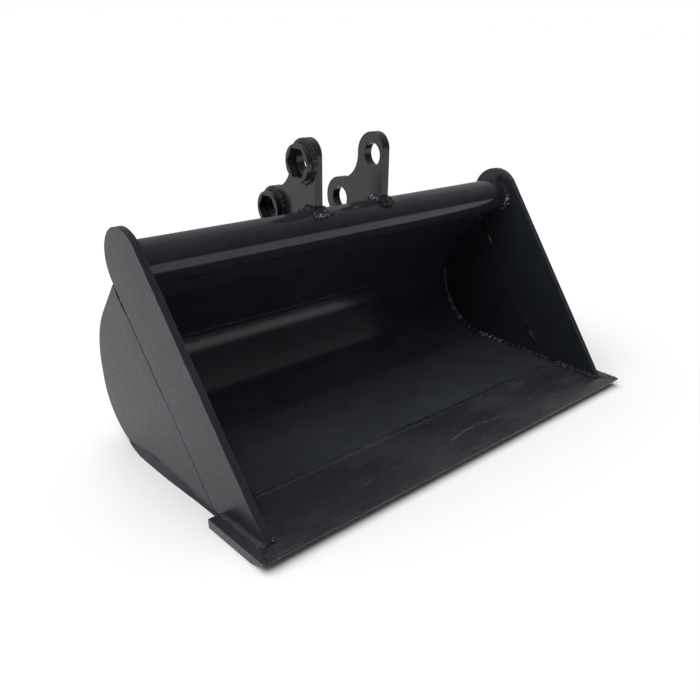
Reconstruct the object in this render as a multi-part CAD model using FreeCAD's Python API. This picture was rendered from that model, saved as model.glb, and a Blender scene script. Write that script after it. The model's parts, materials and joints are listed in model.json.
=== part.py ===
import FreeCAD, Part
import math
import os

# Grading bucket of a small excavator: a welded steel box with one wide straight cutting edge.
# Working axes while building: X across the bucket, Y from the cutting edge to the back,
# Z up from the floor's top face. The finished pieces are moved so that the origin is the
# middle of the footprint on the ground.

WIDTH = 600.0            # over the outer faces of the two sides
DEPTH = 344.0            # cutting edge to the rearmost line of the sides
SIDE_T = 8.0             # side bars and side plates
FLOOR_T = 8.0            # wrapper: floor, heel and back
HALF = WIDTH / 2
INNER = HALF - SIDE_T    # inner face of a side

EDGE_T = 11.0            # cutting edge
EDGE_DEPTH = 96.0
EDGE_OVERHANG = 18.0     # past the outer face of each side
EDGE_TIP_T = 3.0
EDGE_BEVEL = 22.0

BAR_LEAN = 38.5          # degrees back from upright
BAR_W = 78.0
BAR_SETBACK = 20.0       # bar's toe behind the cutting edge
BAR_REACH = 313.5        # toe to the foot of the rounded end's centre, along the bar

TUBE_R = 24.15
TUBE_BORE_R = 19.15

REAR_FLAT_LOW = 60.0     # the side's rear edge is upright between these heights
REAR_FLAT_TOP = 75.0
SIDE_HEEL_R = 71.0
SIDE_BACK_R = 118.0
BACK_LEAN = 42.0         # degrees forward from upright
SIDE_PROUD = 3.0         # side stands past the wrapper's outer face
SEAM_GAP = 1.6           # groove between side bar and side plate
# The groove stands open near its top: distance down from its top end, extra width.
SEAM_OPENING = ((5.0, 0.0), (12.0, 2.2), (28.0, 1.8), (38.0, 0.0))

HEEL_R = 89.0            # wrapper's inner bend radius
FLOOR_BEND = 6.0         # degrees of crease where floor turns into heel
SEAM_Z = 92.0            # joint between heel plate and back plate
ROOT_GAP = 3.0           # weld root between butted plates

EAR_GAP = 96.0           # clear width between the two hanger ears
EAR_T = 12.0
EAR_OUT = EAR_GAP / 2 + EAR_T
EAR_FRONT_Y = 237.0
EAR_R = 26.5             # rounded around each pin
EAR_WAIST_R = 34.0
EAR_CORNER_R = 19.0
EAR_FOOT = 10.0          # foot's end, along the back plate from the end of its bend
PIN_R = 14.1
UPPER_PIN = (256.0, 298.0)
LOWER_PIN = (317.5, 235.0)

BOSS_R = 21.0
BOSS_T = 11.0
HEX_AF = 31.5            # flats level, corners to the front and back

# Wear strip along the outer foot of each side: place from the edge, height, width at the ground.
SHOE_SECTIONS = ((98.0, 1.6, 2.5), (142.0, 3.0, 3.0), (170.0, 8.4, 4.0), (203.0, 12.0, 5.0),
                 (244.0, 11.6, 5.0), (268.0, 8.9, 4.4), (292.0, 2.4, 2.0), (301.0, 0.5, 0.4))

FILLET = 5.0             # inside corner welds
SMALL_FILLET = 3.0
BOSS_FILLET = 4.0
EAR_FILLET = 6.0
EAR_CAP_WIDE = 1.0       # the weld over an ear's front end narrows to this past each face
EAR_CAP_SWEEP = 16.0     # degrees round the tube
EAR_REAR_STOP = 16.0     # degrees short of the back plate
BEAD_R = 7.1             # crown radius of the butt welds
BEAD_H = 1.6
RIM_RUN = 62.0
EAR_RUN = 54.0
STITCH_R = 4.2
STITCH_H = 2.0
GROOVE_TOP = 95.0        # the seam's groove is welded up to this height
STITCHES = ((18.0, 50.0), (146.0, 164.0))   # heights of the stitch welds on each seam
TOUCH = 0.3
CLOSED = 1e-6


def vec(x, point):
    return FreeCAD.Vector(x, point[0], point[1])


def polar(centre, radius, degrees):
    a = math.radians(degrees)
    return (centre[0] + radius * math.cos(a), centre[1] + radius * math.sin(a))


def along(start, degrees, distance):
    return polar(start, distance, degrees)


def meet(p, p_deg, q, q_deg):
    # crossing point of two lines, each given by a point and a direction
    a, b = math.radians(p_deg), math.radians(q_deg)
    cross = math.cos(a) * math.sin(b) - math.sin(a) * math.cos(b)
    t = ((q[0] - p[0]) * math.sin(b) - (q[1] - p[1]) * math.cos(b)) / cross
    return (p[0] + t * math.cos(a), p[1] + t * math.sin(a))


def arc(centre, radius, start, end):
    # step of an outline: an arc's middle point and end point
    return (polar(centre, radius, (start + end) / 2), polar(centre, radius, end))


def prism(x0, x1, start, *steps):
    # outline in the YZ plane, extruded across X; a step is a point or an arc
    edges = []
    here = start
    for step in steps + (start,):
        if isinstance(step[0], tuple):
            edges.append(Part.Arc(vec(x0, here), vec(x0, step[0]), vec(x0, step[1])).toShape())
            here = step[1]
        elif math.dist(here, step) > CLOSED:
            edges.append(Part.makeLine(vec(x0, here), vec(x0, step)))
            here = step
    return Part.Face(Part.Wire(edges)).extrude(FreeCAD.Vector(x1 - x0, 0, 0))


def rod(x0, x1, centre, radius):
    return Part.makeCylinder(radius, x1 - x0, vec(x0, centre), FreeCAD.Vector(1, 0, 0))


def ring(centre, profile, start, sweep):
    # section of (x, radius) points turned about a line across the bucket
    points = [vec(x, polar(centre, r, start)) for x, r in profile]
    face = Part.Face(Part.makePolygon(points + points[:1]))
    return face.revolve(vec(0, centre), FreeCAD.Vector(1, 0, 0), sweep)


def strip(profile, start, end, normal):
    # section of (x, height) points run in a straight line, height along the normal
    points = [vec(x, along(start, normal, h)) for x, h in profile]
    face = Part.Face(Part.makePolygon(points + points[:1]))
    return face.extrude(vec(0, end) - vec(0, start))


def corner(x, leg, side, base=0.0):
    # section of a corner weld against the face at x, lying to that side of it
    return ((x, base), (x + side * leg, base), (x, base + leg))


def inward(x, leg, side, radius):
    return ((x, radius), (x + side * leg, radius), (x, radius - leg))


def mirrored(shape):
    return shape.mirror(FreeCAD.Vector(0, 0, 0), FreeCAD.Vector(1, 0, 0))


pieces = {}


def pair(name, shape):
    pieces[name + "_left"] = shape
    pieces[name + "_right"] = mirrored(shape)


# Directions in the side view, measured from +Y towards +Z.
bar_dir = 90.0 - BAR_LEAN
bar_normal = bar_dir - 90.0
back_dir = 90.0 + BACK_LEAN
back_normal = BACK_LEAN

# Side bar: leaning flat bar with a full round end that closes the torsion tube.
toe = (BAR_SETBACK, 0.0)
tube_c = along(along(toe, bar_dir, BAR_REACH), bar_normal, BAR_W / 2)
heel_of_bar = (EDGE_DEPTH + TOUCH, 0.0)
seam = along(toe, bar_normal, BAR_W)
bar_low = meet(seam, bar_dir, (0.0, -EDGE_T), 0.0)
bar = prism(-HALF, -INNER, toe, polar(tube_c, BAR_W / 2, bar_dir + 90.0),
            arc(tube_c, BAR_W / 2, bar_dir + 90.0, bar_dir - 90.0),
            bar_low, (heel_of_bar[0], -EDGE_T), heel_of_bar)
pair("side_bar", bar)

# Side plate: butts against the bar behind a narrow groove, rounded heel and back.
seam_rear = along(seam, bar_normal, SEAM_GAP)
heel_c = (DEPTH - SIDE_HEEL_R, REAR_FLAT_LOW)
back_c = (DEPTH - SIDE_BACK_R, REAR_FLAT_TOP)
side_bend_end = polar(back_c, SIDE_BACK_R, BACK_LEAN)
side_low = meet(seam_rear, bar_dir, (0.0, -EDGE_T), 0.0)
side_top = meet(seam_rear, bar_dir, side_bend_end, back_dir)
opening = [along(along(side_top, bar_dir, -down), bar_normal, wide) for down, wide in SEAM_OPENING]
plate = prism(-HALF, -INNER, side_low, (heel_c[0], -EDGE_T), arc(heel_c, SIDE_HEEL_R, -90.0, 0.0),
              (DEPTH, REAR_FLAT_TOP), arc(back_c, SIDE_BACK_R, 0.0, BACK_LEAN), side_top, *opening)
pair("side_plate", plate)

# Three-sided wear strip along the outer foot of each side, fading out at both ends.
stations = []
for y, tall, wide in SHOE_SECTIONS:
    rise = max(y - heel_c[0], 0.0)
    foot = heel_c[1] - math.sqrt(SIDE_HEEL_R ** 2 - rise ** 2)
    corners = [FreeCAD.Vector(-HALF, y, foot), FreeCAD.Vector(-HALF - wide, y, foot),
               FreeCAD.Vector(-HALF, y, foot + tall)]
    stations.append(Part.makePolygon(corners + corners[:1]))
pair("heel_shoe", Part.makeLoft(stations, True, True))

# Cutting edge: thick plate, full section under the sides, ground to a thin tip from below.
pieces["cutting_edge"] = prism(-HALF - EDGE_OVERHANG, HALF + EDGE_OVERHANG, (0.0, 0.0),
                               (EDGE_DEPTH, 0.0), (EDGE_DEPTH, -EDGE_T), (EDGE_BEVEL, -EDGE_T),
                               (0.0, -EDGE_TIP_T))

# Torsion tube across the top, between the round ends of the bars.
tube = rod(-INNER, INNER, tube_c, TUBE_R)
pieces["torsion_tube"] = tube.cut(rod(-INNER, INNER, tube_c, TUBE_BORE_R))

# Floor and heel: one plate, creased at the end of the floor and rolled up at the heel.
wrap_back_r = SIDE_BACK_R - SIDE_PROUD
wrap_inner_r = wrap_back_r - FLOOR_T
seam_y = back_c[0] + math.sqrt(wrap_inner_r ** 2 - (SEAM_Z - back_c[1]) ** 2)
bend_c = (seam_y - HEEL_R, SEAM_Z - ROOT_GAP / 2)
roll_start = polar(bend_c, HEEL_R, FLOOR_BEND - 90.0)
crease = meet((0.0, 0.0), 0.0, roll_start, FLOOR_BEND)
crease_out = meet((0.0, -FLOOR_T), 0.0, polar(bend_c, HEEL_R + FLOOR_T, FLOOR_BEND - 90.0), FLOOR_BEND)
floor_front = EDGE_DEPTH + ROOT_GAP
pieces["floor_heel_plate"] = prism(
    -INNER, INNER, (floor_front, 0.0), (floor_front, -FLOOR_T), crease_out,
    polar(bend_c, HEEL_R + FLOOR_T, FLOOR_BEND - 90.0),
    arc(bend_c, HEEL_R + FLOOR_T, FLOOR_BEND - 90.0, 0.0), polar(bend_c, HEEL_R, 0.0),
    arc(bend_c, HEEL_R, 0.0, FLOOR_BEND - 90.0), crease)

# Back plate: rolled forward from the heel seam and run straight up into the tube.
seam_low = math.degrees(math.asin((SEAM_Z + ROOT_GAP / 2 - back_c[1]) / wrap_inner_r))
inner_bend_end = polar(back_c, wrap_inner_r, BACK_LEAN)
outer_bend_end = polar(back_c, wrap_back_r, BACK_LEAN)
to_tube = math.dist(inner_bend_end, tube_c)
back = prism(-INNER, INNER, polar(back_c, wrap_inner_r, seam_low),
             polar(back_c, wrap_back_r, seam_low), arc(back_c, wrap_back_r, seam_low, BACK_LEAN),
             along(outer_bend_end, back_dir, to_tube), along(inner_bend_end, back_dir, to_tube),
             inner_bend_end, arc(back_c, wrap_inner_r, BACK_LEAN, seam_low))
back = back.cut(rod(-HALF, HALF, tube_c, TUBE_R))
back = max(back.Solids, key=lambda s: s.Volume)
pieces["back_plate"] = back

# Hanger ears: plates standing on the tube and down the back, rounded around both pins.
span = math.dist(UPPER_PIN, LOWER_PIN)
pin_dir = math.degrees(math.atan2(LOWER_PIN[1] - UPPER_PIN[1], LOWER_PIN[0] - UPPER_PIN[0]))
waist_angle = math.degrees(math.acos(span / 2 / (EAR_R + EAR_WAIST_R)))
waist_c = polar(UPPER_PIN, EAR_R + EAR_WAIST_R, pin_dir + waist_angle)
ear_foot = along(outer_bend_end, back_dir, EAR_FOOT)
foot_dist = math.dist(LOWER_PIN, ear_foot)
foot_dir = math.degrees(math.atan2(ear_foot[1] - LOWER_PIN[1], ear_foot[0] - LOWER_PIN[0]))
foot_touch = foot_dir + math.degrees(math.acos(EAR_R / foot_dist))
ear_top = UPPER_PIN[1] + EAR_R
corner_c = (EAR_FRONT_Y + EAR_CORNER_R, ear_top - EAR_CORNER_R)
waist_from = pin_dir + waist_angle
waist_to = pin_dir + 180.0 - waist_angle
ear = prism(-EAR_OUT, -EAR_GAP / 2, (EAR_FRONT_Y, tube_c[1]), (EAR_FRONT_Y, corner_c[1]),
            arc(corner_c, EAR_CORNER_R, 180.0, 90.0), (UPPER_PIN[0], ear_top),
            arc(UPPER_PIN, EAR_R, 90.0, waist_from),
            arc(waist_c, EAR_WAIST_R, waist_from + 180.0, waist_to + 180.0),
            arc(LOWER_PIN, EAR_R, waist_to, foot_touch), ear_foot,
            along(ear_foot, back_normal, -FLOOR_T / 2), tube_c)
ear = ear.cut(rod(-HALF, HALF, tube_c, TUBE_R)).cut(back)
for pin in (UPPER_PIN, LOWER_PIN):
    ear = ear.cut(rod(-HALF, HALF, pin, PIN_R))
ear = max(ear.Solids, key=lambda s: s.Volume)
pair("hanger_ear", ear)

# Pin bosses on the outer face of the left ear, with a six-sided pocket for the pin's head.
for name, pin in (("upper", UPPER_PIN), ("lower", LOWER_PIN)):
    flats = [polar(pin, HEX_AF / math.sqrt(3), 60.0 * i) for i in range(6)]
    boss = rod(-EAR_OUT - BOSS_T, -EAR_OUT, pin, BOSS_R)
    boss = boss.cut(prism(-EAR_OUT - BOSS_T, -EAR_OUT, *flats))
    pieces["pin_boss_" + name] = boss
    pieces["weld_boss_" + name] = ring(pin, corner(-EAR_OUT, BOSS_FILLET, -1, BOSS_R), 0.0, 360.0)

# Butt welds with a low crown: edge to floor, and heel to back.
root = prism(-INNER, INNER, (EDGE_DEPTH, -FLOOR_T), (floor_front, -FLOOR_T),
             (floor_front, 0.0), (EDGE_DEPTH, 0.0))
crown = rod(-INNER, INNER, (EDGE_DEPTH + ROOT_GAP / 2, BEAD_H - BEAD_R), BEAD_R)
crown = crown.cut(prism(-HALF, HALF, (0.0, 0.0), (DEPTH, 0.0), (DEPTH, -DEPTH), (0.0, -DEPTH)))
pieces["weld_edge_floor"] = root.fuse(crown).removeSplitter()

root = prism(-INNER, INNER, polar(bend_c, HEEL_R, 0.0), polar(bend_c, HEEL_R + FLOOR_T, 0.0),
             polar(back_c, wrap_back_r, seam_low), polar(back_c, wrap_inner_r, seam_low))
crown = rod(-INNER, INNER, (seam_y - BEAD_H + BEAD_R, SEAM_Z), BEAD_R)
crown = crown.cut(root).cut(back).cut(pieces["floor_heel_plate"])
crown = min(crown.Solids, key=lambda s: s.CenterOfMass.y)
pieces["weld_heel_back"] = root.fuse(crown).removeSplitter()

# Tube to back plate, inside the bowl.
hit = meet(inner_bend_end, back_dir, polar(tube_c, TUBE_R, back_dir + 180.0), back_normal)
bead = rod(-INNER + FILLET, INNER - FILLET, hit, FILLET).cut(back).cut(rod(-HALF, HALF, tube_c, TUBE_R))
pieces["weld_tube_back"] = min(bead.Solids, key=lambda s: s.CenterOfMass.y)

# Ring welds at both ends of the tube, broken where the back plate runs in.
pair("weld_tube_end", ring(tube_c, corner(-INNER, FILLET, 1, TUBE_R), 0.0, 360.0).cut(back))

# Corner welds inside the bowl: along the floor, then up the heel.
floor_run = strip(corner(-INNER, FILLET, 1), (floor_front + FILLET, 0.0), crease, 90.0)
heel_run = ring(bend_c, inward(-INNER, FILLET, 1, HEEL_R), FLOOR_BEND - 90.0, 90.0 - FLOOR_BEND)
ramp_run = strip(corner(-INNER, FILLET, 1), crease, roll_start, 90.0 + FLOOR_BEND)
bowl_weld = floor_run.fuse([ramp_run, heel_run]).cut(pieces["weld_heel_back"])
pieces["weld_bowl_left"] = bowl_weld.removeSplitter()
pieces["weld_bowl_right"] = mirrored(pieces["weld_bowl_left"])

# Corner welds outside, between the wrapper and the proud rim of the sides.
rim_heel = ring(bend_c, corner(-INNER, SMALL_FILLET, 1, HEEL_R + FLOOR_T), FLOOR_BEND - 90.0,
                90.0 - FLOOR_BEND)
rim_back = ring(back_c, corner(-INNER, SMALL_FILLET, 1, wrap_back_r), seam_low, BACK_LEAN - seam_low)
rim_top = strip(corner(-INNER, SMALL_FILLET, 1), outer_bend_end,
                along(outer_bend_end, back_dir, RIM_RUN), back_normal)
pair("weld_rim", Part.makeCompound([rim_heel, rim_back.fuse(rim_top).removeSplitter()]))

# Groove weld in the lower half of each side seam, with two stitches on the inner face.
seam_mid = along(seam, bar_normal, SEAM_GAP / 2)


def seam_at(z, base):
    return meet(base, bar_dir, (0.0, z), 0.0)


fill = prism(-HALF + TOUCH, -INNER - TOUCH, seam_at(-EDGE_T + TOUCH, seam), seam_at(GROOVE_TOP, seam),
             seam_at(GROOVE_TOP, seam_rear), seam_at(-EDGE_T + TOUCH, seam_rear))
stitches = []
for z0, z1 in STITCHES:
    low, high = seam_at(z0, seam_mid), seam_at(z1, seam_mid)
    stitch = Part.makeCylinder(STITCH_R, math.dist(low, high), vec(-INNER + STITCH_H - STITCH_R, low),
                               vec(0, high) - vec(0, low))
    stitches.append(stitch.cut(prism(-HALF * 2, -INNER, (-DEPTH, -DEPTH), (DEPTH * 2, -DEPTH),
                                     (DEPTH * 2, DEPTH * 2), (-DEPTH, DEPTH * 2))))
pair("weld_seam", Part.makeCompound([fill] + stitches))

# Foot welds of the side bars on the cutting edge, both faces.
foot_in = strip(corner(-INNER, FILLET, 1), toe, (EDGE_DEPTH - FILLET, 0.0), 90.0)
foot_out = strip(corner(-HALF, SMALL_FILLET, -1), toe, (EDGE_DEPTH, 0.0), 90.0)
pair("weld_foot", Part.makeCompound([foot_in, foot_out]))

# Hanger welds: round the tube on both faces of the ear, over its front end, down the back plate.
front_angle = math.degrees(math.acos((EAR_FRONT_Y - tube_c[0]) / TUBE_R))
rear_angle = back_dir - 180.0 + EAR_REAR_STOP
runs = []
for x, side in ((-EAR_OUT, -1), (-EAR_GAP / 2, 1)):
    runs.append(ring(tube_c, corner(x, EAR_FILLET, side, TUBE_R), rear_angle, front_angle - rear_angle))
    runs.append(strip(corner(x, EAR_FILLET, side), ear_foot, along(ear_foot, back_dir, EAR_RUN),
                      back_normal))
cap = ((-EAR_OUT - EAR_FILLET, TUBE_R), (-EAR_GAP / 2 + EAR_FILLET, TUBE_R),
       (-EAR_GAP / 2 + EAR_CAP_WIDE, TUBE_R + EAR_FILLET),
       (-EAR_OUT - EAR_CAP_WIDE, TUBE_R + EAR_FILLET))
runs.append(ring(tube_c, cap, front_angle, EAR_CAP_SWEEP).cut(ear))
pair("weld_hanger", Part.makeCompound(runs))

os.makedirs("parts", exist_ok=True)
for node, shape in pieces.items():
    shape = shape.copy()
    shape.translate(FreeCAD.Vector(0, -DEPTH / 2, EDGE_T))
    shape.exportStep("parts/" + node + ".step")
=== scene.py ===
import json
import math
import random

import bmesh
import bpy
from mathutils import Matrix, Vector


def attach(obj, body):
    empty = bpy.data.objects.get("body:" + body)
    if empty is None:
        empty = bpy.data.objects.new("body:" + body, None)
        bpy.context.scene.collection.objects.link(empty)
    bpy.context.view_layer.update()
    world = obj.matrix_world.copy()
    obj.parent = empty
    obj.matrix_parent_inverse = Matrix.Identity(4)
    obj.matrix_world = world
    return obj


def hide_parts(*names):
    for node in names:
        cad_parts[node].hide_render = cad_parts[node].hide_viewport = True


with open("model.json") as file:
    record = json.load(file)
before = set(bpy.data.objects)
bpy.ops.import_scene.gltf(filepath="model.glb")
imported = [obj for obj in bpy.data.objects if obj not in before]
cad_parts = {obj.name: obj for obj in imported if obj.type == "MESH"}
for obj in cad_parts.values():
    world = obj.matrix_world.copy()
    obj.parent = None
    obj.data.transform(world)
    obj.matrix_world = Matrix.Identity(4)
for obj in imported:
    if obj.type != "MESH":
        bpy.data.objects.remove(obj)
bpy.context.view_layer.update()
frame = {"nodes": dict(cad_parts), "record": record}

# The bucket in metres: X along the cutting edge, Y from the edge to the back, Z up.
# BACK_CENTRE and PINS are places in the side view, from the edge's tip and the floor's top face.
HALF = 0.300                    # half the width over the sides
SIDE_T = 0.008
INNER = HALF - SIDE_T
EDGE_T = 0.011
EDGE_DEPTH = 0.096
FLOOR_T = 0.008
FRONT_Y = -0.172                # the edge's tip
TOP_Z = EDGE_T                  # the floor's top face

ROOT_GAP = 0.003                # between two plates that are butt-welded
HEEL_R = 0.089
FLOOR_BEND = math.radians(6.0)
BACK_CENTRE = (0.226, 0.075)
BACK_R = 0.107
BACK_LEAN = math.radians(42.0)
SEAM_Z = TOP_Z + 0.092          # the joint of heel and back
RIM_RUN = 0.062                 # length of the rim's weld above the back's bend
TUBE_R = 0.02415
BAR_LEAN = math.radians(38.5)
BAR_W = 0.078
BAR_SETBACK = 0.020
BAR_REACH = 0.3135
SEAM_GAP = 0.0016               # the groove between side bar and side plate
EAR_IN = 0.048                  # an ear's two faces, from the middle of the bucket
EAR_OUT = 0.060
EAR_FRONT = 0.237               # how far the ears' front lies behind the edge's tip
EAR_FOOT = 0.010                # an ear's weld on the back starts this far above the bend
EAR_RUN = 0.054                 # and is this long
EAR_REAR_STOP = math.radians(16.0)
BOSS_R = 0.021
PINS = (("upper", (0.256, 0.298)), ("lower", (0.3175, 0.235)))

BEAD_STEP = 0.0009              # distance between rings of a bead's mesh
BEAD_SIDES = 9
RIPPLE = 0.00035
RIPPLE_PITCH = 0.0038
RIPPLE_BOW = 0.55               # how far a ripple's middle runs ahead, in pitches
RIPPLE_RISE = 0.7               # a ripple's slow rise and quick fall, as shares of its pitch
RIPPLE_FALL = 0.3
PITCH_SPREAD = (0.9, 1.1)
SINK = 0.0004                   # how deep a bead's toes lie in the plates
END_RUN = 0.006                 # a bead grows to its full size over this length
END_LEAST = 0.03                # its very end keeps the root of this share of the height
END_WIDTH = 0.6                 # and would keep this share of the width at no height
WAVES = (0.031, 0.013, 0.0058)  # wavelengths of a bead's unevenness
WAVE_SPREAD = (0.8, 1.25)
PHASES = (0, 6.28)
SCATTER = 0.45                  # how widely spatter is strewn, as a share of the lengths given
LUMP = 0.2                      # unevenness of a spatter ball, and how flat it may be
SQUASH = (0.4, 0.8)

FILLET = 0.0052                 # legs of the welds: inside the bowl
THIN_FILLET = 0.003             # along the rims
UNDER_LEG = 0.006               # along the floor's underside, behind the edge
UNDER_RISE = 0.9                # and down the edge, as a share of THIN_FILLET
END_FILLET = 0.0038             # round the tube's ends
BOSS_FILLET = 0.0042
EAR_LEG = 0.006
BUTT_HALF = 0.0050
BUTT_CROWN = 0.0007
END_CLEAR = 0.003               # the welds across the bowl stop this far from the sides

X, Y, Z = Vector((1, 0, 0)), Vector((0, 1, 0)), Vector((0, 0, 1))


def yz(y, z):
    """A place in the side view, from the edge's tip and the floor's top face."""
    return (FRONT_Y + y, TOP_Z + z)


def polar(centre, radius, angle):
    return (centre[0] + radius * math.cos(angle), centre[1] + radius * math.sin(angle))


def along(point, angle, distance):
    return polar(point, distance, angle)


def v3(x, point):
    return Vector((x, point[0], point[1]))


def unit(angle):
    return Vector((0.0, math.cos(angle), math.sin(angle)))


bar_dir = math.pi / 2 - BAR_LEAN
back_dir = math.pi / 2 + BACK_LEAN
toe = yz(BAR_SETBACK, 0.0)
across_angle = bar_dir - math.pi / 2
seam_foot = along(toe, across_angle, BAR_W + SEAM_GAP / 2)
tube_c = along(along(toe, bar_dir, BAR_REACH), across_angle, BAR_W / 2)
back_c = yz(*BACK_CENTRE)
seam_y = back_c[0] + math.sqrt(BACK_R ** 2 - (SEAM_Z - back_c[1]) ** 2)
bend_c = (seam_y - HEEL_R, SEAM_Z - ROOT_GAP / 2)
inner_end = polar(back_c, BACK_R, BACK_LEAN)
outer_end = polar(back_c, BACK_R + FLOOR_T, BACK_LEAN)


# ---------------------------------------------------------------- materials
class Tree:
    """A material's node tree with short calls for its usual nodes."""

    def __init__(self, name):
        self.mat = bpy.data.materials.new(name)
        self.mat.use_nodes = True
        self.nodes = self.mat.node_tree.nodes
        self.links = self.mat.node_tree.links
        self.nodes.clear()
        self.bsdf = self.nodes.new("ShaderNodeBsdfPrincipled")
        out = self.nodes.new("ShaderNodeOutputMaterial")
        self.links.new(self.bsdf.outputs["BSDF"], out.inputs["Surface"])
        self.coord = self.nodes.new("ShaderNodeTexCoord").outputs["Object"]

    def put(self, socket, value):
        if isinstance(value, bpy.types.NodeSocket):
            self.links.new(value, socket)
        else:
            socket.default_value = value

    def moved(self, shift=0.0, stretch=(1, 1, 1), turn=(0, 0, 0)):
        m = self.nodes.new("ShaderNodeMapping")
        self.links.new(self.coord, m.inputs["Vector"])
        m.inputs["Scale"].default_value = stretch
        m.inputs["Rotation"].default_value = turn
        m.inputs["Location"].default_value = (shift, shift * 0.7, -shift)
        return m.outputs["Vector"]

    def noise(self, scale, detail=3.0, rough=0.5, **place):
        n = self.nodes.new("ShaderNodeTexNoise")
        self.links.new(self.moved(**place), n.inputs["Vector"])
        n.inputs["Scale"].default_value = scale
        n.inputs["Detail"].default_value = detail
        n.inputs["Roughness"].default_value = rough
        return n.outputs["Fac"]

    def math(self, op, a, b=0.0, clamp=False):
        n = self.nodes.new("ShaderNodeMath")
        n.operation = op
        n.use_clamp = clamp
        self.put(n.inputs[0], a)
        self.put(n.inputs[1], b)
        return n.outputs[0]

    def ramp(self, value, lo, hi, out_lo=0.0, out_hi=1.0):
        n = self.nodes.new("ShaderNodeMapRange")
        n.interpolation_type = "SMOOTHSTEP"
        self.put(n.inputs["Value"], value)
        for key, v in (("From Min", lo), ("From Max", hi), ("To Min", out_lo), ("To Max", out_hi)):
            n.inputs[key].default_value = v
        return n.outputs["Result"]

    def mix(self, fac, a, b):
        n = self.nodes.new("ShaderNodeMix")
        n.data_type = "RGBA"
        self.put(n.inputs["Factor"], fac)
        self.put(n.inputs[6], a)
        self.put(n.inputs[7], b)
        return n.outputs[2]

    def blend(self, fac, a, b):
        n = self.nodes.new("ShaderNodeMix")
        n.data_type = "FLOAT"
        self.put(n.inputs["Factor"], fac)
        self.put(n.inputs[2], a)
        self.put(n.inputs[3], b)
        return n.outputs[0]

    def bump(self, height, distance, normal=None):
        n = self.nodes.new("ShaderNodeBump")
        n.inputs["Strength"].default_value = 1.0
        n.inputs["Distance"].default_value = distance
        self.links.new(height, n.inputs["Height"])
        if normal is not None:
            self.links.new(normal, n.inputs["Normal"])
        return n.outputs["Normal"]

    def soft_edge(self, radius):
        n = self.nodes.new("ShaderNodeBevel")
        n.samples = 6
        n.inputs["Radius"].default_value = radius
        return n.outputs["Normal"]

    def off_flat(self, normal):
        """1 on an edge, 0 on a flat face."""
        g = self.nodes.new("ShaderNodeNewGeometry")
        d = self.nodes.new("ShaderNodeVectorMath")
        d.operation = "DOT_PRODUCT"
        self.links.new(normal, d.inputs[0])
        self.links.new(g.outputs["Normal"], d.inputs[1])
        return self.ramp(d.outputs["Value"], 0.995, 0.90)

    def axis(self, name):
        s = self.nodes.new("ShaderNodeSeparateXYZ")
        self.links.new(self.coord, s.inputs[0])
        return s.outputs[name]

    def reach(self, centre):
        """Distance from a point."""
        d = self.nodes.new("ShaderNodeVectorMath")
        d.operation = "DISTANCE"
        self.links.new(self.coord, d.inputs[0])
        d.inputs[1].default_value = centre
        return d.outputs["Value"]

    def facing_up(self):
        g = self.nodes.new("ShaderNodeNewGeometry")
        s = self.nodes.new("ShaderNodeSeparateXYZ")
        self.links.new(g.outputs["Normal"], s.inputs[0])
        return s.outputs["Z"]


def grey(v, tint=(1.0, 1.0, 1.0)):
    return (v * tint[0], v * tint[1], v * tint[2], 1.0)


DUST = grey(0.16, (1.0, 0.98, 0.94))
# colour of scuffs and rub marks; on the edges it is partly a painted highlight
SCUFF_AND_EDGE_HIGHLIGHT = grey(0.11, (0.98, 1.0, 1.04))
SCRAPED = grey(0.22)
# bare steel colour of the bead flecks, which also serve as painted glints
BARE_STEEL_AND_GLINT = grey(0.62)
FILM_TOP = (TOP_Z + 0.00035, TOP_Z + 0.00010)   # heights between which the settled dust ends
LIP = (0.0050, 0.0065)          # how far from the groove's middle the edge wear and painted edge highlight start and are full
RUB_MARKS = ((0.12, 20.0), (-0.35, 31.0), (1.25, 43.0))     # each with its turn and its shift
CLEANED_FROM = (-0.02, 0.12)    # X over which the cleaned patch sets in
SCRAPE_CENTRE = (0.036, -0.300, TOP_Z)
SCRAPE_R = 0.173
SCRAPE_HALF = (0.0011, 0.0003)  # half its width: where it starts and where it is full
SCRAPE_LEFT = (-0.018, 0.0)     # X over which its two ends fade
SCRAPE_RIGHT = (0.095, 0.07)


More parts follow.
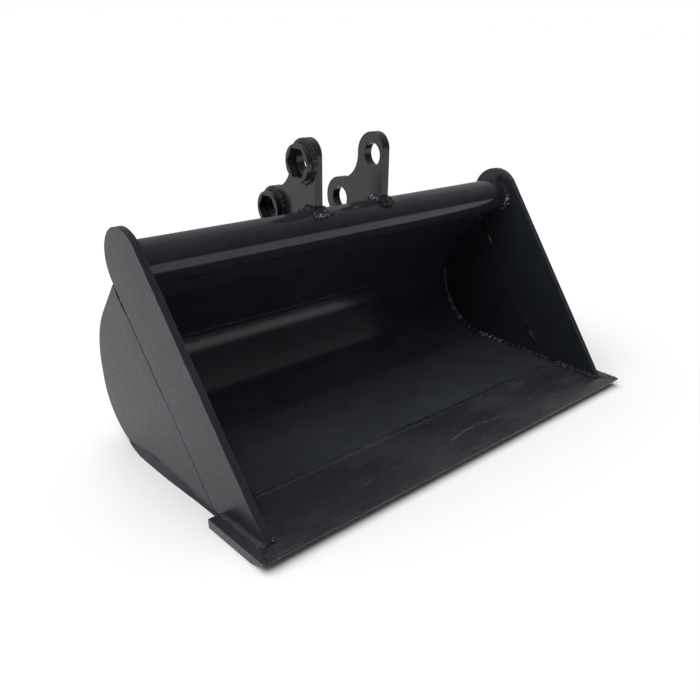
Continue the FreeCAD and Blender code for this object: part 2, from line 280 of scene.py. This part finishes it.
def paint(name, base, rough, tint, dust, level, seed, peel=1.0, sag=1.0, wear_and_edge_highlight=0.5, scratch=0.0,
          settled=0.0, scuffed=0.0, chips_and_glints=0.0, groove=None):
    """Gloss black paint sprayed on steel plate: sags, orange peel, dust on what faces up, edges both
    rubbed and lightened as a painted highlight.
    """
    t = Tree(name)
    t.bsdf.inputs["IOR"].default_value = 1.5
    t.bsdf.inputs["Specular IOR Level"].default_value = level
    cloud = t.noise(6.0, 5.0, 0.6, shift=seed)
    mottle = t.noise(38.0, 3.0, 0.6, shift=seed + 2.0)
    fine = t.noise(170.0, 4.0, 0.65, shift=seed + 3.0)
    grain = t.noise(900.0, 2.0, 0.5, shift=seed + 5.0)

    shade = t.mix(t.ramp(cloud, 0.3, 0.7), grey(base * 0.87, tint), grey(base * 1.13, tint))
    shade = t.mix(t.ramp(mottle, 0.35, 0.75, 0.0, 0.35), shade, grey(base * 1.6, tint))
    up = t.ramp(t.facing_up(), 0.2, 0.95)
    film = t.math("MULTIPLY", t.ramp(cloud, 0.40, 0.70), up)
    speck = t.math("MULTIPLY", t.ramp(fine, 0.62, 0.72), t.ramp(mottle, 0.45, 0.6))
    dirt = t.math("ADD", t.math("MULTIPLY", film, 0.35), t.math("MULTIPLY", speck, 0.45), clamp=True)
    dirt = t.math("MULTIPLY", dirt, dust, clamp=True)
    if settled:
        # an even film on what lies flat and low, ending where the floor starts to rise
        low = t.math("MULTIPLY", t.ramp(t.axis("Z"), *FILM_TOP), up)
        low = t.math("MULTIPLY", low, t.ramp(cloud, 0.2, 0.8, settled * 0.88, settled * 1.12))
        dirt = t.math("MAXIMUM", dirt, low)
    colour = t.mix(dirt, shade, DUST)

    # lighter edges: partly rubbed paint, partly a painted highlight along the rounded edges
    edge = t.soft_edge(0.0011)
    patchy = t.noise(70.0, 4.0, 0.7, shift=seed + 7.0)
    rub_and_edge_highlight = t.math("MULTIPLY", t.off_flat(edge), t.ramp(patchy, 0.40, 0.62))
    rub_and_edge_highlight = t.math("MULTIPLY", rub_and_edge_highlight, wear_and_edge_highlight, clamp=True)
    if groove:
        # no rubbed paint and no painted edge highlight down in the groove and along its two lips
        foot, across = groove
        back = t.math("MULTIPLY", t.math("SUBTRACT", t.axis("Y"), foot[0]), across[0])
        rise = t.math("MULTIPLY", t.math("SUBTRACT", t.axis("Z"), foot[1]), across[1])
        off = t.math("ABSOLUTE", t.math("ADD", back, rise))
        rub_and_edge_highlight = t.math("MULTIPLY", rub_and_edge_highlight, t.ramp(off, *LIP))
    colour = t.mix(rub_and_edge_highlight, colour, SCUFF_AND_EDGE_HIGHLIGHT)
    r = t.blend(t.ramp(fine, 0.3, 0.7), rough * 0.85, rough * 1.2)
    r = t.blend(t.math("MAXIMUM", dirt, rub_and_edge_highlight), r, 0.55)

    wave = t.noise(13.0, 1.0, 0.4, shift=seed + 9.0)
    n = t.bump(wave, 0.0007 * sag, edge)
    skin = t.noise(330.0, 2.0, 0.5, shift=seed + 12.0)
    n = t.bump(skin, 0.00007 * peel, n)
    n = t.bump(grain, 0.000012 * peel, n)
    if scratch:
        # long fine rub marks across the plate, each broken up along its length
        marks = None
        for turn, far in RUB_MARKS:
            line = t.noise(60.0, 2.0, 0.5, shift=far, stretch=(0.25, 7.0, 7.0), turn=(0, 0, turn))
            patchy = t.noise(9.0, 2.0, 0.5, shift=far)
            part = t.math("MULTIPLY", t.ramp(line, 0.645, 0.70), t.ramp(patchy, 0.50, 0.62))
            marks = part if marks is None else t.math("MAXIMUM", marks, part)
        marks = t.math("MULTIPLY", marks, scratch, clamp=True)
        colour = t.mix(marks, colour, SCUFF_AND_EDGE_HIGHLIGHT)
        r = t.blend(marks, r, 0.5)
        n = t.bump(t.math("MULTIPLY", marks, -1.0), 0.00005, n)
    if scuffed:
        # cleaned and dragged-over patch towards the right end, and one long curved scrape
        ends = t.math("MULTIPLY", t.ramp(t.axis("X"), *CLEANED_FROM), up)
        drag = t.noise(22.0, 5.0, 0.62, shift=seed + 21.0, stretch=(0.5, 1.6, 1.0), turn=(0, 0, 0.3))
        rubbed = t.math("MULTIPLY", t.ramp(drag, 0.42, 0.66), t.math("MULTIPLY", ends, 0.22 * scuffed))
        colour = t.mix(rubbed, colour, DUST)
        r = t.blend(rubbed, r, 0.6)
        off = t.math("ABSOLUTE", t.math("SUBTRACT", t.reach(SCRAPE_CENTRE), SCRAPE_R))
        scrape = t.math("MULTIPLY", t.ramp(off, *SCRAPE_HALF), t.ramp(fine, 0.35, 0.55))
        scrape = t.math("MULTIPLY", scrape, t.ramp(t.axis("X"), *SCRAPE_LEFT))
        scrape = t.math("MULTIPLY", scrape, t.math("MULTIPLY", t.ramp(t.axis("X"), *SCRAPE_RIGHT), up))
        colour = t.mix(t.math("MULTIPLY", scrape, scuffed), colour, SCRAPED)
    if chips_and_glints:
        # bare steel where the paint has missed or flaked off the bead; the bright flecks also serve as
        # painted glints of the rough bead
        flecks = t.noise(520.0, 2.0, 0.6, shift=seed + 15.0)
        groups = t.noise(34.0, 2.0, 0.5, shift=seed + 17.0)
        bare_and_glint = t.math("MULTIPLY", t.ramp(flecks, 0.54, 0.60), t.ramp(groups, 0.50, 0.58))
        bare_and_glint = t.math("MULTIPLY", bare_and_glint, chips_and_glints, clamp=True)
        colour = t.mix(bare_and_glint, colour, BARE_STEEL_AND_GLINT)
        t.put(t.bsdf.inputs["Metallic"], bare_and_glint)
        r = t.blend(bare_and_glint, r, 0.35)
    t.put(t.bsdf.inputs["Base Color"], colour)
    t.put(t.bsdf.inputs["Roughness"], r)
    t.put(t.bsdf.inputs["Normal"], n)
    return t.mat


across_yz = (math.cos(across_angle), math.sin(across_angle))
PAINTS = {
    "side_paint": dict(base=0.018, rough=0.33, tint=(0.86, 1.0, 1.25), dust=0.15, level=0.30, seed=1.0,
                       sag=0.5, wear_and_edge_highlight=0.9, groove=(seam_foot, across_yz)),
    "bowl_paint": dict(base=0.023, rough=0.17, tint=(0.85, 1.0, 1.42), dust=0.08, level=0.45, seed=2.0,
                       sag=0.35, wear_and_edge_highlight=0.3, settled=0.075),
    "edge_paint": dict(base=0.016, rough=0.26, tint=(0.88, 1.0, 1.2), dust=0.25, level=0.43, seed=3.0,
                       wear_and_edge_highlight=0.9, scratch=0.2, settled=0.03, scuffed=0.42),
    "tube_paint": dict(base=0.019, rough=0.11, tint=(0.92, 1.0, 1.3), dust=0.12, level=0.42, seed=4.0,
                       sag=0.8),
    "ear_paint": dict(base=0.013, rough=0.24, tint=(0.98, 1.0, 1.08), dust=0.08, level=0.47, seed=5.0,
                      peel=0.4, wear_and_edge_highlight=1.0, scratch=0.2),
    "boss_paint": dict(base=0.014, rough=0.24, tint=(0.95, 1.0, 1.12), dust=0.15, level=0.42, seed=6.0,
                       wear_and_edge_highlight=1.0),
    # weld beads: bare steel flecks, which also serve as painted glints
    "weld_paint": dict(base=0.011, rough=0.20, tint=(0.86, 1.0, 1.35), dust=0.05, level=0.4, seed=7.0,
                       sag=0.0, wear_and_edge_highlight=0.0, chips_and_glints=0.7),
}
mats = {name: paint(name, **look) for name, look in PAINTS.items()}
slots = {s["node"]: s["material_slot"] for s in frame["record"]["subparts"]}
for node, obj in frame["nodes"].items():
    obj.data.materials.clear()
    obj.data.materials.append(mats[slots[node]])


# ---------------------------------------------------------------- weld beads
def steps(length):
    return max(3, int(abs(length) / BEAD_STEP) + 1)


def straight(start, end, a, b, normal=None):
    """Frames (corner, toe a, toe b, crown direction) from start to end."""
    count = steps((end - start).length)
    normal = normal or (a + b).normalized()
    return [(start.lerp(end, i / (count - 1)), a, b, normal) for i in range(count)]


def bend(x, centre, radius, start, end, across, out):
    """Frames round an arc at x: toe a lies along X, toe b along the radius."""
    count = steps((end - start) * radius)
    frames = []
    for i in range(count):
        angle = start + (end - start) * i / (count - 1)
        a, b = X * across, unit(angle) * out
        frames.append((v3(x, polar(centre, radius, angle)), a, b, (a + b).normalized()))
    return frames


class Wave:
    """Seeded smooth waviness between -1 and 1 along a bead."""

    def __init__(self, rng):
        self.terms = [(2 * math.pi / (n * rng.uniform(*WAVE_SPREAD)), rng.uniform(*PHASES)) for n in WAVES]

    def __call__(self, s):
        return sum(math.sin(k * s + p) for k, p in self.terms) / len(self.terms)


class Bead:
    """One piece made of closed weld runs and spatter balls; it may stand for CAD weld nodes."""

    def __init__(self, name, seed):
        self.name = name
        self.rng = random.Random(seed)
        self.bm = bmesh.new()

    def skin(self, rings, closed=False):
        """A closed surface over rings of points: capped at both ends, or joined end to end."""
        rows = [[self.bm.verts.new(p) for p in ring] for ring in rings]
        pairs = list(zip(rows, rows[1:])) + ([(rows[-1], rows[0])] if closed else [])
        for a, b in pairs:
            for j in range(len(a)):
                k = (j + 1) % len(a)
                self.bm.faces.new((a[j], a[k], b[k], b[j]))
        if not closed:
            self.bm.faces.new(rows[0][::-1])
            self.bm.faces.new(rows[-1])

    def run(self, frames, crown=0.0008, ripple=RIPPLE, rough=0.14, closed=False):
        """A rippled weld bead along the frames; crown is its height over the line from toe to toe."""
        wide, lean, high = (Wave(self.rng) for _ in range(3))
        pitch = RIPPLE_PITCH * self.rng.uniform(*PITCH_SPREAD)
        total = sum((q[0] - p[0]).length for p, q in zip(frames, frames[1:]))
        if closed:
            frames = frames[:-1]
            pitch = total / round(total / pitch)
        s = 0.0
        last = frames[0][0]
        rings = []
        for at, a, b, normal in frames:
            s += (at - last).length
            last = at
            end = 1.0 if closed else min(1.0, math.sqrt(max(END_LEAST, min(s, total - s) / END_RUN)))
            grow = (1.0 + rough * wide(s)) * (END_WIDTH + (1.0 - END_WIDTH) * end)
            a2 = a * grow * (1.0 + 0.5 * rough * lean(s))
            b2 = b * grow * (1.0 - 0.5 * rough * lean(s))
            toes = {0: a, BEAD_SIDES: b}
            ring = [at - normal * SINK * 2]
            for j in range(BEAD_SIDES + 1):
                t = j / BEAD_SIDES
                dome = math.sin(math.pi * t)
                phase = (s / pitch - RIPPLE_BOW * dome) % 1.0
                saw = phase / RIPPLE_RISE if phase < RIPPLE_RISE else (1.0 - phase) / RIPPLE_FALL
                lift = crown * (1.0 + 0.4 * high(s)) * end * dome + ripple * (saw - 0.5) * math.sqrt(dome)
                way = normal
                if j in toes:
                    # the toes sink into their plate, square to it
                    edge = toes[j].normalized()
                    way = normal - edge * normal.dot(edge)
                    lift = -SINK
                ring.append(at + a2.lerp(b2, t) + way * lift)
            rings.append(ring)
        self.skin(rings, closed)

    def ball(self, at, radius, squash, normal):
        """One uneven ball, flattened along the normal."""
        made = bmesh.ops.create_icosphere(self.bm, subdivisions=2, radius=radius)
        turn = normal.to_track_quat("Z", "Y").to_matrix()
        swirl = self.rng.uniform(*PHASES)
        for v in made["verts"]:
            lump = LUMP * math.sin(v.co.x / radius * 2.3 + swirl) * math.cos(v.co.y / radius * 2.9 + swirl)
            p = v.co * (1.0 + lump)
            v.co = at + turn @ Vector((p.x, p.y, p.z * squash))

    def spatter(self, spot, spread, count, drop, normal):
        """Balls round a spot: spread holds directions with lengths, drop the least and most radius."""
        small, large = drop
        for _ in range(count):
            at = spot.copy()
            for direction in spread:
                at += direction * max(-1.0, min(1.0, self.rng.gauss(0, SCATTER)))
            radius = small + (large - small) * self.rng.random() ** 3
            self.ball(at, radius, self.rng.uniform(*SQUASH), normal)

    def done(self, *nodes, slot="weld_paint"):
        """Puts the piece into the scene; it replaces the named CAD nodes, if any."""
        bmesh.ops.recalc_face_normals(self.bm, faces=self.bm.faces)
        mesh = bpy.data.meshes.new(self.name)
        self.bm.to_mesh(mesh)
        self.bm.free()
        for p in mesh.polygons:
            p.use_smooth = True
        obj = bpy.data.objects.new(self.name, mesh)
        bpy.context.scene.collection.objects.link(obj)
        mesh.materials.append(mats[slot])
        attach(obj, "root")
        if nodes:
            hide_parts(*nodes)


def full_width(point, a, b, normal=None):
    """Frames along X through a point of the side view, across the whole bowl."""
    return straight(v3(-span, point), v3(span, point), a, b, normal)


def full_turn(x, centre, radius, across, out):
    """Frames once round a circle at x."""
    return bend(x, centre, radius, 0.0, 2 * math.pi, across, out)


# Least and most radius of spatter balls, by place.
DROPS = {"joint": (0.0005, 0.0017), "floor": (0.0003, 0.0009), "tube": (0.0007, 0.0021),
         "bowl": (0.0004, 0.0011), "tip": (0.0005, 0.0015), "toe": (0.0008, 0.0019),
         "ear": (0.0009, 0.0026)}
# Clusters of spatter along the edge's weld (X, count), and how far they lie behind and spread.
JOINT_SPATTER = ((-0.252, 30), (-0.205, 10), (-0.12, 9), (-0.022, 18), (0.07, 8), (0.16, 8))
JOINT_BEHIND = 0.003
JOINT_SPREAD = (X * 0.018, Y * 0.009)
FLOOR_SPREAD = (X * 0.28, Y * 0.03)
FLOOR_COUNT = 60

# Edge to floor: a butt weld on top and a fillet below, behind the edge.
span = INNER - END_CLEAR
joint = Bead("bead_edge_floor", 11)
joint_y = FRONT_Y + EDGE_DEPTH + ROOT_GAP / 2
joint.run(full_width((joint_y, TOP_Z), Y * BUTT_HALF, -Y * BUTT_HALF, Z), crown=BUTT_CROWN,
          ripple=BUTT_CROWN * 0.45, rough=0.25)
under = (FRONT_Y + EDGE_DEPTH, TOP_Z - FLOOR_T)
joint.run(full_width(under, Y * UNDER_LEG, -Z * THIN_FILLET * UNDER_RISE))
joint.done("weld_edge_floor", slot="edge_paint")
beads = Bead("spatter_floor", 14)
for x, count in JOINT_SPATTER:
    beads.spatter(Vector((x, joint_y + JOINT_BEHIND, TOP_Z)), JOINT_SPREAD, count, DROPS["joint"], Z)
beads.spatter(Vector((0.0, joint_y, TOP_Z)), FLOOR_SPREAD, FLOOR_COUNT, DROPS["floor"], Z)
beads.done()

# Heel to back: a butt weld with a crown on both faces, lower on the inner one.
seam = Bead("bead_heel_back", 12)
for y, face, crown in ((seam_y, -Y, 0.0004), (seam_y + FLOOR_T, Y, 0.0011)):
    seam.run(full_width((y, SEAM_Z), Z * BUTT_HALF, -Z * BUTT_HALF, face), crown=crown, ripple=crown * 0.3)
seam.done("weld_heel_back", slot="bowl_paint")

# Tube to back plate, in the corner inside the bowl.
up_plate = unit(back_dir)
to_tube = v3(0, tube_c) - v3(0, inner_end)
miss = to_tube - up_plate * to_tube.dot(up_plate)
hit = v3(0, inner_end) + up_plate * (to_tube.dot(up_plate) - math.sqrt(TUBE_R ** 2 - miss.length_squared))
spoke = (hit - v3(0, tube_c)).normalized()
tangent = spoke.cross(X)
if tangent.dot(miss) < 0:
    tangent = -tangent
reach = X * (span - FILLET)
tube_back = Bead("bead_tube_back", 13)
tube_back.run(straight(hit - reach, hit + reach, -up_plate * FILLET, tangent * FILLET))
tube_back.done("weld_tube_back")

floor_front = yz(EDGE_DEPTH + ROOT_GAP + FILLET, 0.0)
roll_angle = FLOOR_BEND - math.pi / 2
roll_start = polar(bend_c, HEEL_R, roll_angle)
crease = along(roll_start, FLOOR_BEND, -(roll_start[1] - TOP_Z) / math.sin(FLOOR_BEND))
seam_low = math.asin((SEAM_Z + ROOT_GAP / 2 - back_c[1]) / BACK_R)
across_bar = unit(across_angle)


def on_seam(z):
    """The groove's middle at a height over the ground."""
    return along(seam_foot, bar_dir, (z - seam_foot[1]) / math.sin(bar_dir))


TUBE_SPATTER = ((1.75, 12), (2.1, 9), (3.3, 9), (2.75, 4))      # angle round the tube, count
TUBE_OFF = (0.004, 0.005)       # how far these lie from the side and outside the tube
RAGGED = ((1.54, 2.13), (2.88, 3.63))       # stretches of the tube's end weld that are rough and bare; their bright flecks partly serve as painted glints
RAGGED_FILLET = 0.0062
GROOVE_FOOT = 0.0005            # heights of the groove's filling
GROOVE_TOP = TOP_Z + 0.095
FILL_INNER = 0.0003             # the filling's two faces, in from the side's inner and outer face
FILL_OUTER = 0.0030
FILL_LAP = 0.0002               # how far it reaches into bar and plate
SEAM_START = 0.0008             # height where the weld over the filling starts
SEAM_WIDE = 1.9                 # its width, as a share of the filling's
PITS = (0.0240, 0.0265, 0.0520, 0.0620, 0.0770)     # heights where it is open
PIT = 0.0013                    # half a pit's height
SHORTEST = 0.004                # what is shorter between two pits stays open as well
STITCHES = ((0.029, 0.061), (0.157, 0.175))     # heights of the stitches on the inner face
STITCH_HALF = 0.0030
ROOT_DEPTHS = (0.0008, 0.0028)  # the root's two faces, in from the side's inner face
OPENING = 0.0022                # extra width where the groove stands open
CLOSED_FROM = 0.189             # the groove's mouth is closed again from here up
CLOSED_WIDE = 1.3               # width of that weld, as a share of the filling's
SEAM_TOP = 0.193
OUTER_TOE = (0.0066, 0.0022)    # the thin weld outside the bar's foot: width and height
TOE_END = 0.002                 # it stops this far short of the edge's rear
BOWL_SPREAD = (Y * 0.09, X * 0.012)     # spatter round the floor's crease
BOWL_COUNT = 34
BOWL_OFF = 0.01                 # in from the side
TIP_AT = (0.008, 0.012)         # spatter outside the bar's foot: out from the side, back from the tip
TIP_SPREAD = (X * 0.014, Y * 0.013)
TIP_COUNT = 46
TOE_SPREAD = (X * 0.008, Y * 0.006)
TOE_COUNT = 16

for side, word in ((-1, "left"), (1, "right")):
    seed = 20 + side
    inner = side * INNER
    outer = side * HALF

    ends = Bead("bead_tube_end_" + word, seed)
    ends.run(full_turn(inner, tube_c, TUBE_R, -side * END_FILLET, END_FILLET), crown=0.0003,
             ripple=0.0002, rough=0.25, closed=True)
    ends.done("weld_tube_end_" + word, slot="tube_paint")
    beads = Bead("spatter_tube_end_" + word, seed + 21)
    for angle, count in TUBE_SPATTER:
        at = v3(inner - side * TUBE_OFF[0], polar(tube_c, TUBE_R + TUBE_OFF[1], angle))
        spread = (unit(angle) * 0.004, unit(angle + math.pi / 2) * 0.005)
        beads.spatter(at, spread, count, DROPS["tube"], X * -side)
    for start, end in RAGGED:
        beads.run(bend(inner, tube_c, TUBE_R, start, end, -side * RAGGED_FILLET, RAGGED_FILLET), rough=0.4)
    beads.done()

    bowl = Bead("bead_bowl_" + word, seed + 3)
    inward = X * -side * FILLET
    path = straight(v3(inner, floor_front), v3(inner, crease), inward, Z * FILLET)
    upward = unit(FLOOR_BEND + math.pi / 2) * FILLET
    path += straight(v3(inner, crease), v3(inner, roll_start), inward, upward)
    path += bend(inner, bend_c, HEEL_R, roll_angle, 0.0, -side * FILLET, -FILLET)
    bowl.run(path, crown=0.0005, rough=0.25)
    bowl.spatter(v3(inner - side * BOWL_OFF, crease), BOWL_SPREAD, BOWL_COUNT, DROPS["bowl"], Z)
    bowl.done("weld_bowl_" + word)

    rim = Bead("bead_rim_" + word, seed + 6)
    path = bend(inner, bend_c, HEEL_R + FLOOR_T, roll_angle, 0.0, -side * THIN_FILLET, THIN_FILLET)
    rim.run(path, crown=0.0003, ripple=0.0003)
    path = bend(inner, back_c, BACK_R + FLOOR_T, seam_low, BACK_LEAN, -side * THIN_FILLET, THIN_FILLET)
    path += straight(v3(inner, outer_end), v3(inner, along(outer_end, back_dir, RIM_RUN)),
                     X * -side * THIN_FILLET, unit(BACK_LEAN) * THIN_FILLET)
    rim.run(path, crown=0.0003, ripple=0.0003)
    rim.done("weld_rim_" + word)

    groove = Bead("bead_seam_" + word, seed + 9)
    half = across_bar * (SEAM_GAP / 2 + FILL_LAP)
    lift = X * side
    box = []
    for z in (GROOVE_FOOT, GROOVE_TOP):
        deep = v3(inner + side * FILL_INNER, on_seam(z))
        shallow = v3(outer - side * FILL_OUTER, on_seam(z))
        box.append([deep - half, deep + half, shallow + half, shallow - half])
    groove.skin(box)
    stops = [SEAM_START] + [z for pit in PITS for z in (pit - PIT, pit + PIT)] + [GROOVE_TOP]
    for z0, z1 in zip(stops[::2], stops[1::2]):
        low = v3(outer, on_seam(z0))
        high = v3(outer, on_seam(z1))
        if high.z - low.z > SHORTEST:
            path = straight(low, high, half * SEAM_WIDE, -half * SEAM_WIDE, lift)
            groove.run(path, crown=0.00028, ripple=0.00012, rough=0.5)
    groove.done("weld_seam_" + word, slot="side_paint")

    # the stitches take weld_paint, whose bright flecks partly serve as painted glints on them
    stitch = Bead("bead_stitch_" + word, seed + 24)
    for z0, z1 in STITCHES:
        low = v3(inner, on_seam(z0))
        high = v3(inner, on_seam(z1))
        path = straight(low, high, across_bar * STITCH_HALF, -across_bar * STITCH_HALF, -lift)
        stitch.run(path, crown=0.0010, rough=0.3)
    stitch.done()

    root = Bead("bead_seam_root_" + word, seed + 15)
    wider = across_bar * OPENING
    box = []
    for z in (GROOVE_TOP, SEAM_TOP):
        deep, shallow = (v3(inner + side * depth, on_seam(z)) for depth in ROOT_DEPTHS)
        box.append([deep - half, deep + half + wider, shallow + half + wider, shallow - half])
    root.skin(box)
    low = v3(outer, on_seam(CLOSED_FROM))
    high = v3(outer, on_seam(SEAM_TOP))
    path = straight(low, high, half * CLOSED_WIDE, half * -CLOSED_WIDE, lift)
    root.run(path, crown=0.0001, ripple=0.00003, rough=0.4)
    root.done(slot="side_paint")

    foot = Bead("bead_foot_" + word, seed + 12)
    rear = yz(EDGE_DEPTH - FILLET, 0.0)
    foot.run(straight(v3(inner, toe), v3(inner, rear), X * -side * FILLET, Z * FILLET), rough=0.25)
    tip = v3(side * (HALF + TIP_AT[0]), yz(TIP_AT[1], 0.0))
    foot.spatter(tip, TIP_SPREAD, TIP_COUNT, DROPS["tip"], Z)
    foot.spatter(v3(outer, toe), TOE_SPREAD, TOE_COUNT, DROPS["toe"], Z)
    foot.done("weld_foot_" + word)
    outside = Bead("bead_toe_" + word, seed + 18)
    rear = yz(EDGE_DEPTH - TOE_END, 0.0)
    outside.run(straight(v3(outer, toe), v3(outer, rear), X * side * OUTER_TOE[0], Z * OUTER_TOE[1]),
                crown=0.0001, ripple=0.00015, rough=0.35)
    outside.done(slot="edge_paint")

# Hanger welds: round the tube, up the back plate, and two layers across each ear's front.
EAR_LAP = 0.1                   # the weld round the tube runs on under those in front, as an angle
LAYERS = ((0.0, 0.0075), (0.0045, 0.0060))      # how far down the tube, and the leg
SIDE_CLEAR = 0.004              # they stand out past the ear's faces
front_angle = math.acos((FRONT_Y + EAR_FRONT - tube_c[0]) / TUBE_R)
rear_angle = back_dir - math.pi + EAR_REAR_STOP
ear_foot = along(outer_end, back_dir, EAR_FOOT)
ear_head = along(ear_foot, back_dir, EAR_RUN)
for side, word in ((-1, "left"), (1, "right")):
    hang = Bead("bead_hanger_" + word, 40 + side)
    for x, face in ((side * EAR_OUT, side), (side * EAR_IN, -side)):
        round_tube = bend(x, tube_c, TUBE_R, rear_angle, front_angle + EAR_LAP, face * EAR_LEG, EAR_LEG)
        up_back = straight(v3(x, ear_foot), v3(x, ear_head), X * face * EAR_LEG, unit(BACK_LEAN) * EAR_LEG)
        hang.run(round_tube, crown=0.0012, rough=0.25)
        hang.run(up_back, crown=0.0010, rough=0.2)
    nose = v3(0, polar(tube_c, TUBE_R, front_angle))
    down = unit(front_angle + math.pi / 2)
    for fall, leg in LAYERS:
        at = nose + down * fall * 0.9
        start = at + X * (EAR_OUT + SIDE_CLEAR) * side
        end = at + X * (EAR_IN - SIDE_CLEAR) * side
        outward = unit(front_angle) * leg * 0.85 + Z * 0.001
        hang.run(straight(start, end, down * leg, outward), crown=0.0016, rough=0.3)
    middle = nose + X * side * (EAR_OUT + EAR_IN) / 2 + down * 0.006
    hang.spatter(middle, (X * 0.016, down * 0.006), 26, DROPS["ear"], unit(front_angle + 0.4))
    hang.done("weld_hanger_" + word)

for number, (level, pin) in enumerate(PINS):
    ring = Bead("bead_boss_" + level, 50 + number)
    ring.run(full_turn(-EAR_OUT, yz(*pin), BOSS_R, -BOSS_FILLET, BOSS_FILLET), crown=0.0005, ripple=0.0003,
             rough=0.25, closed=True)
    ring.done("weld_boss_" + level, slot="boss_paint")

# ---------------------------------------------------------------- stage, light, camera
STAGE = 40.0
STAGE_DROP = 0.0003             # keeps the floor clear of the bucket's underside
floor_mesh = bpy.data.meshes.new("floor")
corners = [(-STAGE, -STAGE, 0), (STAGE, -STAGE, 0), (STAGE, STAGE, 0), (-STAGE, STAGE, 0)]
floor_mesh.from_pydata(corners, [], [(0, 1, 2, 3)])
floor = bpy.data.objects.new("floor", floor_mesh)
bpy.context.scene.collection.objects.link(floor)
floor.location.z = -STAGE_DROP
pale = Tree("studio_floor")
pale.bsdf.inputs["Base Color"].default_value = (0.90, 0.90, 0.90, 1)
pale.bsdf.inputs["Roughness"].default_value = 0.9
pale.bsdf.inputs["Specular IOR Level"].default_value = 0.1
floor_mesh.materials.append(pale.mat)

scene = bpy.context.scene
scene.view_settings.view_transform = "Standard"
world = bpy.data.worlds.new("studio")
scene.world = world
world.use_nodes = True
wn = world.node_tree.nodes
wl = world.node_tree.links
wn.clear()
sky_out = wn.new("ShaderNodeOutputWorld")
sky = wn.new("ShaderNodeBackground")
sky_dir = wn.new("ShaderNodeTexCoord")
sky_axes = wn.new("ShaderNodeSeparateXYZ")
sky_ramp = wn.new("ShaderNodeValToRGB")
sky_span = wn.new("ShaderNodeMapRange")
sky_span.inputs["From Max"].default_value = math.pi
sky_angle = wn.new("ShaderNodeMath")
sky_angle.operation = "ARCTAN2"
wl.new(sky_dir.outputs["Generated"], sky_axes.inputs[0])
wl.new(sky_axes.outputs["Z"], sky_angle.inputs[0])
wl.new(sky_axes.outputs["Y"], sky_angle.inputs[1])
wl.new(sky_angle.outputs[0], sky_span.inputs["Value"])
wl.new(sky_span.outputs["Result"], sky_ramp.inputs["Fac"])
wl.new(sky_ramp.outputs["Color"], sky.inputs["Color"])
backdrop = wn.new("ShaderNodeBackground")
backdrop.inputs["Color"].default_value = (1.0, 1.0, 1.0, 1)
seen = wn.new("ShaderNodeLightPath")
either = wn.new("ShaderNodeMixShader")
wl.new(seen.outputs["Is Camera Ray"], either.inputs[0])
wl.new(sky.outputs[0], either.inputs[1])
wl.new(backdrop.outputs[0], either.inputs[2])
wl.new(either.outputs[0], sky_out.inputs[0])
# Brightness of the room, from the horizon behind the bucket over the top to the horizon in front.
ROOM = ((0.0, 0.24), (0.17, 0.42), (0.36, 0.52), (0.5, 0.36), (0.66, 0.26), (0.78, 0.17), (0.89, 0.12),
        (1.0, 0.05))
ROOM_BLUE = 1.02
knots = sky_ramp.color_ramp.elements
for place, value in ROOM[1:-1]:
    knots.new(place)
for knot, (place, value) in zip(knots, ROOM):
    knot.position = place
    knot.color = (value, value, value * ROOM_BLUE, 1)

# One wide soft light from above, a little from behind and from the left. Gloss doesn't mirror it.
SUN_POWER = 2.85
SUN_WIDTH = math.radians(85)
SUN_TURN = (math.radians(-15), math.radians(-20), 0)
sun = bpy.data.objects.new("soft_top", bpy.data.lights.new("soft_top", "SUN"))
sun.data.energy = SUN_POWER
sun.data.angle = SUN_WIDTH
sun.visible_glossy = False
sun.rotation_euler = SUN_TURN
scene.collection.objects.link(sun)

# The camera as fitted to the photo's edges.
CAM_AT = (-0.6076, -0.6164, 0.459)
CAM_AZ = math.radians(45.423)
CAM_PITCH = math.radians(30.497)
CAM_ROLL = math.radians(2.578)
SENSOR = 36.0
LENS = 36.962
SHIFT = (-0.0571, 0.1286)
cam = bpy.data.objects.new("camera", bpy.data.cameras.new("camera"))
cam.data.sensor_width = SENSOR
cam.data.lens = LENS
cam.data.shift_x = SHIFT[0]
cam.data.shift_y = SHIFT[1]
cam.data.clip_start = 0.01
ahead = Vector((math.sin(CAM_AZ) * math.cos(CAM_PITCH), math.cos(CAM_AZ) * math.cos(CAM_PITCH),
                -math.sin(CAM_PITCH)))
level_right = Vector((math.cos(CAM_AZ), -math.sin(CAM_AZ), 0))
level_up = level_right.cross(ahead)
right = level_right * math.cos(CAM_ROLL) + level_up * math.sin(CAM_ROLL)
up = level_up * math.cos(CAM_ROLL) - level_right * math.sin(CAM_ROLL)
cam.matrix_world = Matrix.Translation(CAM_AT) @ Matrix((right, up, -ahead)).transposed().to_4x4()
scene.collection.objects.link(cam)
scene.camera = cam
